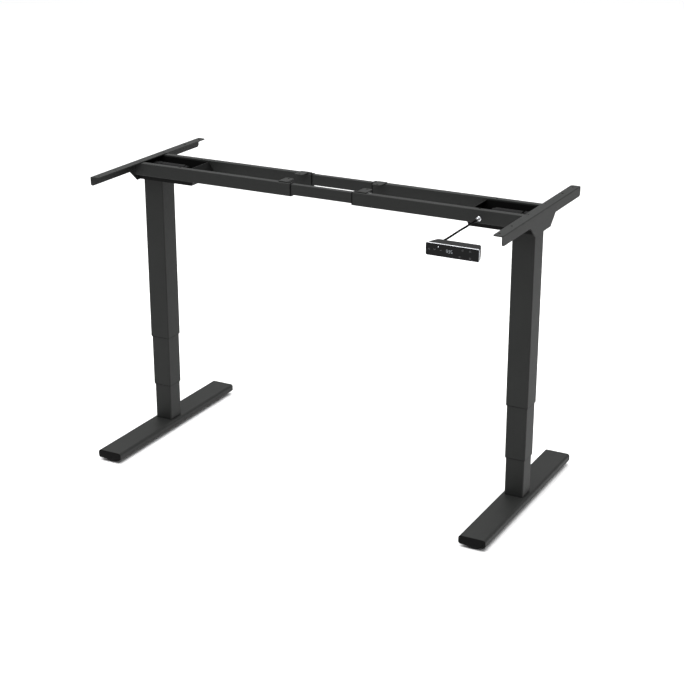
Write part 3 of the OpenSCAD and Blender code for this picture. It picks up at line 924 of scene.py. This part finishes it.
@dataclass
class HandsetLead(Assembly):
    """The lead from the rail socket to the handset, with its plug and its boot."""

    body: str = "right_head"
    route_mm: tuple[Triple, ...] = (
        (543, -384, 920), (541, -366, 919), (537, -330, 916), (532, -280, 913), (527, -230, 910),
        (522, -180, 906), (518, -145, 904), (516, -122, 902), (514, -104, 901),
    )
    diameter: float = 0.006
    plug_seam: float = 0.0180
    tail_ribs: int = 6
    boot_ribs: int = 9
    boot_pitch: float = 0.0019

    def centreline(self, per_span: int = 3) -> list[Vector]:
        """Smooth line through the route, from the plug to the handset.

        Args:
            per_span: Points from one route point to the next.

        Returns:
            The points, in metres.
        """
        p = [Vector(q) * MM for q in reversed(self.route_mm)]
        line = []
        for i in range(len(p) - 1):
            a, b, c, d = p[max(i - 1, 0)], p[i], p[i + 1], p[min(i + 2, len(p) - 1)]
            for j in range(per_span):
                t = j / per_span
                square, cube = 2 * a - 5 * b + 4 * c - d, 3 * b - a - 3 * c + d
                line.append(0.5 * (2 * b + (c - a) * t + square * t * t + cube * t**3))
        return line + [p[-1]]

    def build(self) -> None:
        """Builds the lead, its plug and the boot at the handset."""
        line = self.centreline()
        plug = self.plug(line[0])
        boot = self.boot(line)
        curve = bpy.data.curves.new("handset_lead_jacket", "CURVE")
        curve.dimensions, curve.bevel_depth, curve.bevel_resolution = "3D", self.diameter / 2, 5
        curve.use_fill_caps = True
        spline = curve.splines.new("POLY")
        spline.points.add(len(line) - 1)
        for point, at in zip(spline.points, line):
            point.co = (*at, 1.0)
        spline.use_smooth = True
        curve.materials.append(self.finishes["lead_jacket"])
        lead = bpy.data.objects.new("handset_lead_jacket", curve)
        bpy.context.scene.collection.objects.link(lead)
        self.fit(lead, self.body, "lead_jacket", ["handset_lead"])

    def plug(self, tail: Vector) -> list[bpy.types.Object]:
        """Builds the screw-on metal collar with its knurled grip, and its ribbed tail.

        Args:
            tail: Where the lead leaves the plug.

        Returns:
            The collar and the tail.
        """
        low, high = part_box("lead_plug")
        at = turned(Vector((0, -1, 0)), Vector((tail.x, high.y, tail.z)))
        total = high.y - low.y
        r = (high.x - low.x) / 2
        seam = self.plug_seam
        rings = lathe(((r * 0.86, 0.0), (r * 0.9, 0.0005), (r * 0.9, 0.0050)), 80)
        for z, grow in ((0.0054, 0.96), (0.0060, 1.0), (0.0125, 1.0), (0.0131, 0.96)):
            ring = circle_ring(r * grow, z, 80)
            rings.append(fluted(ring, 0.93, 1) if grow == 1.0 else ring)
        rings += lathe(((r * 0.88, 0.0134), (r * 0.88, seam - 0.0004), (r * 0.8, seam)), 80)
        chrome = self.finishes["socket_chrome"]
        collar = Form().loft(rings, at).finish("lead_plug_collar", chrome, smooth=30)
        neck, tail_r = r * 0.78, self.diameter / 2 + 0.0003
        rings = lathe(((r * 0.74, seam - 0.001), (neck, seam + 0.0001)), 48)
        for step in range(self.tail_ribs + 1):
            z = seam + 0.0004 + (total - seam - 0.0010) * step / self.tail_ribs
            base = neck + (tail_r - neck) * step / self.tail_ribs
            groove = 0.88 if step < self.tail_ribs else 1.0
            rings += lathe(((base, z), (base * groove, z + 0.0003)), 48)
        plastic = self.finishes["plug_plastic"]
        piece = Form().loft(rings, at).finish("lead_plug_body", plastic, smooth=30)
        return [
            self.fit(collar, self.body, "socket_chrome"),
            self.fit(piece, self.body, "plug_plastic", ["lead_plug"]),
        ]

    def boot(self, line: Sequence[Vector]) -> bpy.types.Object:
        """Builds the tapered, ribbed strain relief where the lead enters the handset.

        Args:
            line: The lead's centreline, ending at the handset.

        Returns:
            The boot.
        """
        start, run = line[-1], (line[-2] - line[-1]).normalized()
        at = turned(run, start - run * 0.0035)
        rings = []
        for step in range(self.boot_ribs):
            z = step * self.boot_pitch
            r = 0.0044 - 0.00018 * step
            groove = r - 0.0007
            rib = ((r, z), (r, z + 0.0011), (groove, z + 0.0012), (groove, z + 0.0018))
            rings += lathe(rib, 32)
        rings.append(circle_ring(self.diameter / 2 + 0.0001, 0.0178, 32))
        rubber = self.finishes["lead_jacket"]
        piece = Form().loft(rings, at).finish("handset_lead_boot", rubber, smooth=30)
        return self.fit(piece, self.body, "lead_jacket")


# ---------------------------------------------------------------- feet


@dataclass
class Foot(Assembly):
    """One flat foot with its caps, glides and column bolts."""

    side: Side = Side.LEFT
    cap_corner: float = 0.008
    cap_rim: float = 0.003
    cap_round: float = 0.0022
    pad_top: float = 0.0097
    thread_pitch: float = 0.00125
    thread_r: float = 0.0040
    thread_root_r: float = 0.0034

    def build(self) -> None:
        """Dresses the tube and builds its moulded pieces."""
        self.dress(self.side.node("foot_tube"), "powder_coat")
        self.dress(self.side.node("lower_column"), "powder_coat")
        self.dress(self.side.node("lower_nut"), "guide_plastic")
        self.dress(self.side.node("foot_bolts"), "zinc")
        for end, sign in (("front", -1), ("rear", 1)):
            self.cap(end, sign)
            self.glide(end)

    def cap(self, end: str, sign: int) -> None:
        """Moulded end cap with a rounded rim and a hollow plug.

        Args:
            end: "front" or "rear".
            sign: -1 at the front, 1 at the rear.
        """
        node = self.side.node(f"foot_cap_{end}")
        low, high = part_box(node)
        width, height = high.x - low.x, high.z - low.z
        face = low.y if sign < 0 else high.y
        inner = high.y if sign < 0 else low.y
        at = turned(Vector((0, sign, 0)), Vector(((low.x + high.x) / 2, 0, (low.z + high.z) / 2)))
        near, far = abs(inner), abs(face)
        seat, corner = far - self.cap_rim, self.cap_corner
        # less than the box each way, corner radius, distance from the desk's middle
        steps = [
            (0.0092, corner - 0.004, near + 0.002), (0.0092, corner - 0.004, near),
            (0.0054, corner - 0.0022, near), (0.0044, corner - 0.002, near + 0.002),
            (0.0044, corner - 0.002, seat), (0.0004, corner, seat), (0.0, corner, seat + 0.0004),
        ]
        for step in range(5):
            a = math.pi / 2 * step / 4
            pull = self.cap_round * (1 - math.cos(a))
            steps.append((2 * pull, corner - pull, far - 0.0016 + 0.0014 * math.sin(a)))
        steps.append((0.016, corner - 0.004, far))
        rings = block((width - less, height - less, radius, z) for less, radius, z in steps)
        name = self.side.node(f"end_cap_{end}")
        piece = Form().loft(rings, at).finish(name, self.finishes["cap_plastic"])
        self.fit(piece, self.side.node("foot"), "cap_plastic", [node])

    def glide(self, end: str) -> None:
        """Levelling glide: a ribbed pad on a threaded stud.

        Args:
            end: "front" or "rear".
        """
        node = self.side.node(f"glide_{end}")
        low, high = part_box(node)
        radius, top = (high.x - low.x) / 2, self.pad_top
        at = standing(node)
        rings = lathe(((radius - 0.0085, 0.0), (radius - 0.0060, 0.0003)), 96)
        for inset, z in ((0.0047, 0.0010), (0.0032, 0.0030), (0.0010, 0.0062)):
            rings.append(fluted(circle_ring(radius - inset, z, 96), 0.988, 0))
        rings += lathe(
            (
                (radius - 0.0004, 0.0070), (radius, 0.0076), (radius, top - 0.0006),
                (radius - 0.0006, top), (0.0075, top), (0.0040, top - 0.0003),
            ),
            96,
        )
        pad = Form().loft(rings, at)
        pitch = self.thread_pitch
        turns = int((high.z - low.z - top) / pitch)
        radii, start = (self.thread_root_r, self.thread_r), top - 0.0004
        thread = ((radii[i % 2], start + i * pitch / 2) for i in range(turns * 2 + 1))
        pad.loft(lathe(thread, 24), at)
        name = self.side.node(f"levelling_glide_{end}")
        piece = pad.finish(name, self.finishes["glide_rubber"], smooth=32)
        self.fit(piece, self.side.node(f"{end}_glide"), "glide_rubber", [node])


# ---------------------------------------------------------------- columns


@dataclass(frozen=True)
class SpindleSize:
    """Sizes of one spindle: thread pitch, outer radius, bore (or 0) and collar length."""

    kind: str
    pitch: float
    radius: float
    bore: float
    collar: float


@dataclass
class Column(Assembly):
    """The middle and upper stages of one lifting column, with their spindles."""

    side: Side = Side.LEFT
    spindles: tuple[SpindleSize, ...] = (
        SpindleSize("drive", 0.004, 0.008, 0.0, 0.030),
        SpindleSize("hollow", 0.005, 0.013, 0.0083, 0.006),
    )
    thread_depth: float = 0.0009

    def build(self) -> None:
        """Dresses the tubes and their guides, and threads the spindles."""
        for part, slot in (
            ("middle_column", "powder_coat"), ("middle_bush", "bush_plastic"),
            ("middle_plug", "guide_plastic"),
            ("upper_column", "powder_coat"), ("upper_bush", "bush_plastic"),
        ):
            self.dress(self.side.node(part), slot)
        for size in self.spindles:
            self.spindle(size)

    def spindle(self, size: SpindleSize) -> None:
        """Builds a threaded spindle with a chamfered end.

        Args:
            size: Which spindle, and its sizes.
        """
        node = self.side.node(f"{size.kind}_spindle")
        low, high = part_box(node)
        length = high.z - low.z
        radius, root, bore = size.radius, size.radius - self.thread_depth, size.bore
        rings = lathe(((bore, 0.0),), 24) if bore else []
        rings.append(circle_ring(radius - 0.0012, 0.0, 24))
        z, pitch, shoulder = 0.0014, size.pitch, length - size.collar
        while z < shoulder - pitch:
            crest, fall = z + pitch * 0.25, z + pitch * 0.55
            thread = ((root, z), (radius, crest), (radius, fall), (root, z + pitch * 0.8))
            rings += lathe(thread, 24)
            z += pitch
        head = (high.x - low.x) / 2 if bore else radius
        rings += lathe(((radius, shoulder), (head, shoulder + 0.0001)), 24)
        rings += lathe(((head, length - 0.0005), (head - 0.0005, length)), 24)
        if bore:
            rings.append(circle_ring(bore, length, 24))
        form = Form().loft(rings, standing(node), caps=not bore, loop=bool(bore))
        name = self.side.node(f"{size.kind}_screw")
        piece = form.finish(name, self.finishes["spindle_steel"], smooth=25)
        self.fit(piece, self.side.node(size.kind), "spindle_steel", [node])


# ---------------------------------------------------------------- heads


@dataclass
class LiftHead(Assembly):
    """Tray, gearbox, motor, rails, tabs and side bracket of one end."""

    side: Side = Side.LEFT
    sheet: float = 0.003
    rib_places: tuple[float, ...] = (-0.012, -0.004, 0.004, 0.012)
    lid_screw_reach: float = 0.0148
    gear_screw_reach: float = 0.024
    screw_head_r: float = 0.0058
    screw_shank: float = 0.0088
    clamp_head_r: float = 0.0053
    motor_r: float = 0.020
    weld_r: float = 0.0017
    weld_end_r: float = 0.0007

    @property
    def body(self) -> str:
        """Name of the body that it all moves with."""
        return self.side.node("head")

    def build(self) -> None:
        """Dresses the sheet metal and builds the drive, the screws and the welds."""
        for part in ("side_bracket", "front_rail", "rear_rail", "desk_tabs"):
            self.dress(self.side.node(part), "powder_coat")
        # the tray takes the darker coat, which is painted shade for its shaded inside
        self.dress(self.side.node("tray"), "tray_coat")
        self.dress(self.side.node("rail_sleeves"), "bush_plastic")
        self.gearbox()
        self.motor()
        self.screws()
        self.paint_hole_shade()
        self.welds()

    def paint_hole_shade(self) -> None:
        """Lines the holes for the desktop's screws with near-black sleeves: painted shade inside
        the holes.
        """
        form = Form()
        deep, rim = 0.0001 - self.sheet, -0.0001
        for mount in frame["record"]["mounts"]:
            bolted = mount["kind"] == "bolt_pattern"
            if not bolted or not mount["name"].startswith(self.side.name.lower()):
                continue
            half = mount["dims"]["spacing_y_mm"] * MM / 2
            hole = mount["dims"]["hole_r_mm"] * MM
            outer, inner = hole - 0.00005, hole - 0.0004
            rings = lathe(((outer, deep), (outer, rim), (inner, rim), (inner, deep)), 32)
            for sign in (-1, 1):
                at = Matrix.Translation(Vector(mount["pos_m"]) + Vector((0, sign * half, 0)))
                form.loft(rings, at, caps=False, loop=True)
        # near-black lining: painted shade inside each hole
        piece = form.finish(self.side.node("hole_edges"), self.finishes.hole_shade_paint)
        self.fit(piece, self.body, "powder_coat")

    def gearbox(self) -> None:
        """Builds the die-cast gear case with its ribbed body and screwed lid."""
        node = self.side.node("gearbox")
        low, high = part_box(node)
        at = standing(node)
        base, tall = high.x - low.x, high.z - low.z
        # width, corner radius, height
        profile = (
            (base - 0.001, 0.006, 0.0), (base, 0.006, 0.0006), (base, 0.006, 0.0043),
            (base - 0.0014, 0.0054, 0.005), (0.0385, 0.005, 0.005), (0.0362, 0.004, 0.0075),
            (0.036, 0.004, tall - 0.013), (0.0385, 0.005, tall - 0.012),
            (0.0385, 0.005, tall - 0.0042), (0.0375, 0.0045, tall - 0.0032),
            (0.030, 0.010, tall - 0.003), (0.028, 0.012, tall - 0.0004), (0.0272, 0.012, tall),
        )
        form = Form().loft(block((width, width, corner, z) for width, corner, z in profile), at)
        rib = block(((0.0034, 0.0018, 0.0006, -0.0105), (0.0022, 0.0014, 0.0005, 0.0165)), 2)
        for turn in range(4):
            for off in self.rib_places:
                place = Matrix.Translation((0.0188, off, 0.0155))
                form.loft(rib, at @ (Matrix.Rotation(turn * math.pi / 2, 4, "Z") @ place))
        case = form.finish(self.side.node("gear_case"), self.finishes["gear_case"], smooth=32)
        self.fit(case, self.body, "gear_case", [node])
        lid = Form()
        for x, y in corners(self.lid_screw_reach):
            place = at @ Matrix.Translation((x, y, tall - 0.0034))
            lid.loft(screw_rings(0.0026, 0.0022, 0.0013, 0.0007, count=24), place)
        black = self.finishes["black_screw"]
        heads = lid.finish(self.side.node("gear_lid_screws"), black, smooth=30)
        self.fit(heads, self.body, "black_screw")

    def motor(self) -> None:
        """Builds the can motor: flange, rolled seam, end bell and brush caps."""
        node = self.side.node("motor")
        low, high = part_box(node)
        centre = (low + high) / 2
        sign = self.side.value
        length, r = high.x - low.x, self.motor_r
        foot = Vector((high.x if sign > 0 else low.x, centre.y, centre.z))
        at = turned(Vector((-sign, 0, 0)), foot)
        rings = lathe(((0.012, 0.0), (r - 0.0006, 0.0), (r, 0.0006)), 48)
        # distance from the flange, share of the radius
        profile = (
            (0.0040, 1.0), (0.0041, 0.975), (0.0055, 0.975), (0.0060, 1.0), (0.0600, 1.0),
            (0.0606, 0.985), (0.0618, 0.985), (0.0624, 1.0), (0.0830, 1.0), (0.0845, 0.985),
            (0.0850, 0.90), (0.0860, 0.875), (length - 0.0075, 0.875), (length - 0.0058, 0.83),
            (length - 0.0052, 0.32), (length - 0.0046, 0.30), (length - 0.0006, 0.30),
            (length, 0.27),
        )
        can = Form().loft(rings + lathe(((r * share, z) for z, share in profile), 48), at)
        brush_cap = lathe(((0.0032, 0.0), (0.0032, 0.0022), (0.0027, 0.0026)), 20)
        for a in (0.0, math.pi):
            seat = Matrix.Translation((r * 0.86, 0, length - 0.012))
            cap = at @ Matrix.Rotation(a, 4, "Z") @ seat
            can.loft(brush_cap, cap @ Matrix.Rotation(math.pi / 2, 4, "Y"))
        piece = can.finish(self.side.node("motor_can"), self.finishes["motor_paint"], smooth=35)
        self.fit(piece, self.body, "motor_paint", [node])

    def screws(self) -> None:
        """Builds the countersunk frame and gearbox screws, and the rail clamps."""
        black = self.finishes["black_screw"]
        head_r = self.screw_head_r
        head = screw_rings(head_r, 0.0028, 0.0020, 0.001, cone=True)
        gear_low, gear_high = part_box(self.side.node("gearbox"))
        gear = (gear_low + gear_high) / 2
        form = Form()
        for x, y in corners(self.gear_screw_reach):
            seat = Vector((gear.x + x, gear.y + y, gear_low.z + 0.0022))
            add_screw(form, seat, head, self.screw_shank)
        node = self.side.node("head_screws")
        low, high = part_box(node)
        bracket_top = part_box(self.side.node("side_bracket"))[1].z
        row_x = (low.x + head_r) if self.side is Side.LEFT else (high.x - head_r)
        for y in (low.y + head_r, high.y - head_r):
            add_screw(form, Vector((row_x, y, bracket_top - 0.00295)), head, self.screw_shank)
        piece = form.finish(self.side.node("frame_screws"), black, smooth=30)
        self.fit(piece, self.body, "black_screw", [node])
        node = self.side.node("lock_screws")
        low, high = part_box(node)
        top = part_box(self.side.node("front_rail"))[1].z
        clamp = Form()
        head = screw_rings(self.clamp_head_r, high.z - top, 0.0021, 0.0016)
        for y in (low.y + self.clamp_head_r, high.y - self.clamp_head_r):
            add_screw(clamp, Vector(((low.x + high.x) / 2, y, top)), head, top - low.z)
        piece = clamp.finish(self.side.node("rail_clamp_screws"), black, smooth=30)
        self.fit(piece, self.body, "black_screw", [node])

    def welds(self) -> None:
        """Builds the painted weld beads of the rails, the bracket and the column."""
        sign = self.side.value
        rail_low, rail_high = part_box(self.side.node("front_rail"))
        rear_low, rear_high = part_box(self.side.node("rear_rail"))
        bracket_low, bracket_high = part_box(self.side.node("side_bracket"))
        low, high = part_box(self.side.node("upper_column"))
        wall = bracket_high.x - self.sheet if sign > 0 else bracket_low.x + self.sheet
        x, z = wall - sign * 0.0004, high.z - 0.0004
        runs: list[tuple[Triple, Triple]] = []
        for y in (rail_low.y, rear_high.y):
            runs.append(((x, y, rail_low.z + 0.004), (x, y, rail_high.z - 0.004)))
        for y0, y1 in ((rail_low.y, rail_high.y), (rear_low.y, rear_high.y)):
            runs.append(((x, y0 + 0.004, rail_low.z), (x, y1 - 0.004, rail_low.z)))
        for y in (low.y, high.y):
            runs.append(((low.x + 0.006, y, z), (high.x - 0.006, y, z)))
        for side_x in (low.x, high.x):
            runs.append(((side_x, low.y + 0.006, z), (side_x, high.y - 0.006, z)))
        form = Form()
        for index, (start, end) in enumerate(runs):
            path = weld_path(Vector(start), Vector(end))
            size = [self.weld_r + 0.00022 * math.sin(2.1 * i + index) for i in range(len(path))]
            size[0] = size[-1] = self.weld_end_r
            form.loft(tube_rings(path, lambda i, s=size: s[i], 8))
        piece = form.finish(self.side.node("weld_beads"), self.finishes["powder_coat"], smooth=60)
        self.fit(piece, self.body, "powder_coat")


@dataclass
class InnerRails(Assembly):
    """The two inner rails that join the left and right halves."""

    def build(self) -> None:
        """Dresses both rails."""
        self.dress("front_inner_rail", "powder_coat")
        self.dress("rear_inner_rail", "powder_coat")


# ---------------------------------------------------------------- electrics


@dataclass
class ControlBox(Assembly):
    """Control box in the right tray and the lead's socket in the front rail."""

    body: str = "right_head"

    def build(self) -> None:
        """Dresses the box and builds the socket."""
        self.dress("control_box", "box_plastic")
        self.dress("lead_socket", "socket_chrome")
        self.socket_bezel()

    def socket_bezel(self) -> None:
        """Builds the bright bezel round the socket's mouth."""
        low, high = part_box("lead_socket")
        rail_low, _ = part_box("right_front_rail")
        centre = (low + high) / 2
        r = (high.x - low.x) / 2
        at = turned(Vector((0, -1, 0)), Vector((centre.x, rail_low.y - 0.0001, centre.z)))
        stand, mouth = rail_low.y - low.y, 0.0052
        rings = lathe(
            (
                (mouth, stand + 0.0004), (r - 0.0016, stand + 0.0006), (r - 0.0006, stand + 0.0002),
                (r + 0.0002, stand - 0.0006), (r + 0.0004, 0.0), (mouth, 0.0),
            ),
            48,
        )
        form = Form().loft(rings, at, caps=False, loop=True)
        piece = form.finish("lead_socket_bezel", self.finishes["socket_chrome"], smooth=30)
        self.fit(piece, self.body, "socket_chrome")


class Key(Enum):
    """Touch keys and their shapes."""

    UP = "up"
    DOWN = "down"
    RING = "ring"
    DOT = "dot"
    BAR = "bar"


SEGMENTS: dict[str, str] = {
    "0": "abcdef", "1": "bc", "2": "abged", "3": "abgcd", "4": "fgbc",
    "5": "afgcd", "6": "afgedc", "7": "abc", "8": "abcdefg", "9": "abcdfg",
}


@dataclass
class Handset(Assembly):
    """Touch handset: shell, silver frame, black panel and lit marks."""

    body: str = "right_head"
    reading: str = "93.5"
    digits_from: float = 0.390
    digit_tall: float = 0.0078
    mark_low: float = 0.00001
    mark_high: float = 0.00012
    boot_stands: float = 0.010
    rim: float = 0.0010
    keys: tuple[tuple[Key, float, float], ...] = (
        (Key.UP, 0.064, 0.5), (Key.DOWN, 0.170, 0.5), (Key.BAR, 0.285, 0.5), (Key.DOT, 0.240, 0.25),
        (Key.RING, 0.690, 0.27), (Key.RING, 0.830, 0.27),
        (Key.RING, 0.640, 0.80), (Key.RING, 0.830, 0.80),
    )

    def build(self) -> None:
        """Builds the handset."""
        self.dress("handset_glass", "touch_glass")
        self.dress("handset_board", "circuit_board")
        self.shell()
        self.trim()
        self.marks()

    def shell(self) -> None:
        """Tapered shell with rounded edges and a parting groove."""
        low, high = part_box("handset_frame")
        shell_low, shell_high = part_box("handset_shell")
        cx, cz = (low.x + high.x) / 2, (low.z + high.z) / 2
        wide, narrow = (high.x - low.x) - 0.004, (high.x - low.x) - 0.028
        tall = shell_high.z - shell_low.z - 0.0008
        at = turned(Vector((0, 1, 0)), Vector((cx, high.y, cz)))
        depth = shell_high.y - self.boot_stands - high.y
        # width, height, corner radius, distance behind the frame
        profile = (
            (wide, tall, 0.004, 0.0), (wide, tall, 0.004, 0.0016),
            (wide - 0.001, tall - 0.001, 0.0036, 0.0018),
            (wide - 0.001, tall - 0.001, 0.0036, 0.0026),
            (wide - 0.0003, tall, 0.004, 0.0028), (wide - 0.0022, tall, 0.004, 0.012),
            (narrow + 0.003, tall, 0.004, depth - 0.006),
            (narrow + 0.0006, tall - 0.0006, 0.0045, depth - 0.003),
            (narrow - 0.002, tall - 0.002, 0.005, depth - 0.001),
            (narrow - 0.005, tall - 0.0045, 0.005, depth),
        )
        form = Form().loft(block(profile, 5), at)
        piece = form.finish("handset_case", self.finishes["handset_plastic"], smooth=35)
        self.fit(piece, self.body, "handset_plastic", ["handset_shell"])

    def trim(self) -> None:
        """Satin silver frame with a rounded front edge."""
        low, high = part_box("handset_frame")
        cx, cz = (low.x + high.x) / 2, (low.z + high.z) / 2
        width, height, depth = high.x - low.x, high.z - low.z, high.y - low.y
        at = turned(Vector((0, -1, 0)), Vector((cx, high.y, cz)))
        rim = self.rim
        # distance in from the edge, distance forward
        profile = (
            (rim, 0.0), (0.0002, 0.0), (0.0, 0.0003), (0.0, depth - 0.0008),
            (0.0003, depth - 0.0002), (0.0006, depth), (rim - 0.0002, depth - 0.0001),
            (rim, depth - 0.0005),
        )
        rings = block(
            ((width - 2 * inset, height - 2 * inset, 0.005 - inset, z) for inset, z in profile), 8
        )
        form = Form().loft(rings, at, caps=False, loop=True)
        piece = form.finish("handset_bezel", self.finishes["handset_trim"])
        self.fit(piece, self.body, "handset_trim", ["handset_frame"])

    def marks(self) -> None:
        """Keys and digits, a hair proud of the panel."""
        glass_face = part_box("handset_glass")[0].y
        frame_low, frame_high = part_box("handset_frame")
        width, height = frame_high.x - frame_low.x, frame_high.z - frame_low.z
        at = turned_front(Vector((frame_low.x, glass_face, frame_high.z)))
        dim, lit, led = Form(), Form(), Form()
        for key, across, down in self.keys:
            self.key(led if key is Key.DOT else dim, key, across * width, -down * height, at)
        self.digits(lit, self.digits_from * width, -0.5 * height, at)
        self.fit(dim.finish("handset_keys", self.finishes.printed), self.body, "touch_glass")
        self.fit(lit.finish("handset_digits", self.finishes.lit), self.body, "touch_glass")
        self.fit(led.finish("handset_led", self.finishes.led), self.body, "touch_glass")

    def key(self, form: Form, key: Key, x: float, y: float, at: Matrix) -> None:
        """Draws one key.

        Args:
            form: Form to draw on.
            key: Which shape.
            x: Its middle across the panel.
            y: Its middle up the panel.
            at: The panel's transform.
        """
        s, low, high = 0.0030, self.mark_low, self.mark_high
        if key in (Key.UP, Key.DOWN):
            k = 1 if key is Key.UP else -1
            thick = 0.0011
            outline = [(-s, -k * s * 0.5), (0, k * s * 0.6), (s, -k * s * 0.5)]
            back = [(px * 0.72, py - k * thick) for px, py in reversed(outline)]
            form.slab([(x + px, y + py) for px, py in outline + back], low, high, at)
        elif key is Key.BAR:
            form.slab(oblong(x - s, y - 0.0004, x + s, y + 0.0004), low, high, at)
        else:
            middle = Vector((x, y, 0.0))
            outer, inner = 0.0026, 0.0026 * 0.8
            if key is Key.RING:
                rings = lathe(((outer, low), (outer, high), (inner, high), (inner, low)), 28)
                form.loft([[middle + p for p in ring] for ring in rings], at, caps=False, loop=True)
            core = 0.0007 if key is Key.RING else 0.0012
            rings = lathe(((core, low), (core, high)), 16)
            form.loft([[middle + p for p in ring] for ring in rings], at)

    def digits(self, form: Form, x: float, y: float, at: Matrix) -> None:
        """Draws the height reading in seven-segment digits.

        Args:
            form: Form to draw on.
            x: Left edge of the first digit.
            y: Middle of the digits.
            at: The panel's transform.
        """
        tall, low, high = self.digit_tall, self.mark_low, self.mark_high
        wide, t = tall * 0.52, tall * 0.11
        half = tall / 2
        bars = {
            "a": (0, half, wide, half), "g": (0, 0, wide, 0), "d": (0, -half, wide, -half),
            "f": (0, 0, 0, half), "b": (wide, 0, wide, half), "e": (0, -half, 0, 0),
            "c": (wide, -half, wide, 0),
        }
        pen = x
        for mark in self.reading:
            if mark == ".":
                form.slab(oblong(pen - t, y - half - t / 2, pen, y - half + t / 2), low, high, at)
                pen += t * 1.4
                continue
            for name in SEGMENTS[mark]:
                x0, y0, x1, y1 = bars[name]
                a, b = Vector((pen + x0, y + y0)), Vector((pen + x1, y + y1))
                run = (b - a).normalized()
                a, b = a + run * t * 0.6, b - run * t * 0.6
                across = Vector((-run.y, run.x)) * t / 2
                tip = run * t / 2
                bar = (a - tip, a - across, b - across, b + tip, b + across, a + across)
                form.slab([tuple(p) for p in bar], low, high, at)
            pen += wide + t * 2.2


def turned_front(corner: Vector) -> Matrix:
    """Transform of a panel that faces -Y, with X across it, Y up it and Z out of it.

    Args:
        corner: The panel's top left corner.

    Returns:
        The transform.
    """
    faces_front = Matrix(((1, 0, 0, 0), (0, 0, -1, 0), (0, 1, 0, 0), (0, 0, 0, 1)))
    return Matrix.Translation(corner) @ faces_front


def main() -> None:
    """Builds the studio and every sub-assembly."""
    logging.basicConfig(level=logging.INFO, format="%(message)s")
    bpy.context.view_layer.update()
    Studio().build()
    finishes = FinishBook()
    assemblies: list[Assembly] = [HandsetLead(finishes)]
    for side in Side:
        assemblies += [Foot(finishes, side), Column(finishes, side), LiftHead(finishes, side)]
    assemblies += [InnerRails(finishes), ControlBox(finishes), Handset(finishes)]
    for assembly in assemblies:
        assembly.build()
        log.info("%s: %d pieces", type(assembly).__name__, len(assembly.made))


if __name__ == "__main__":
    main()
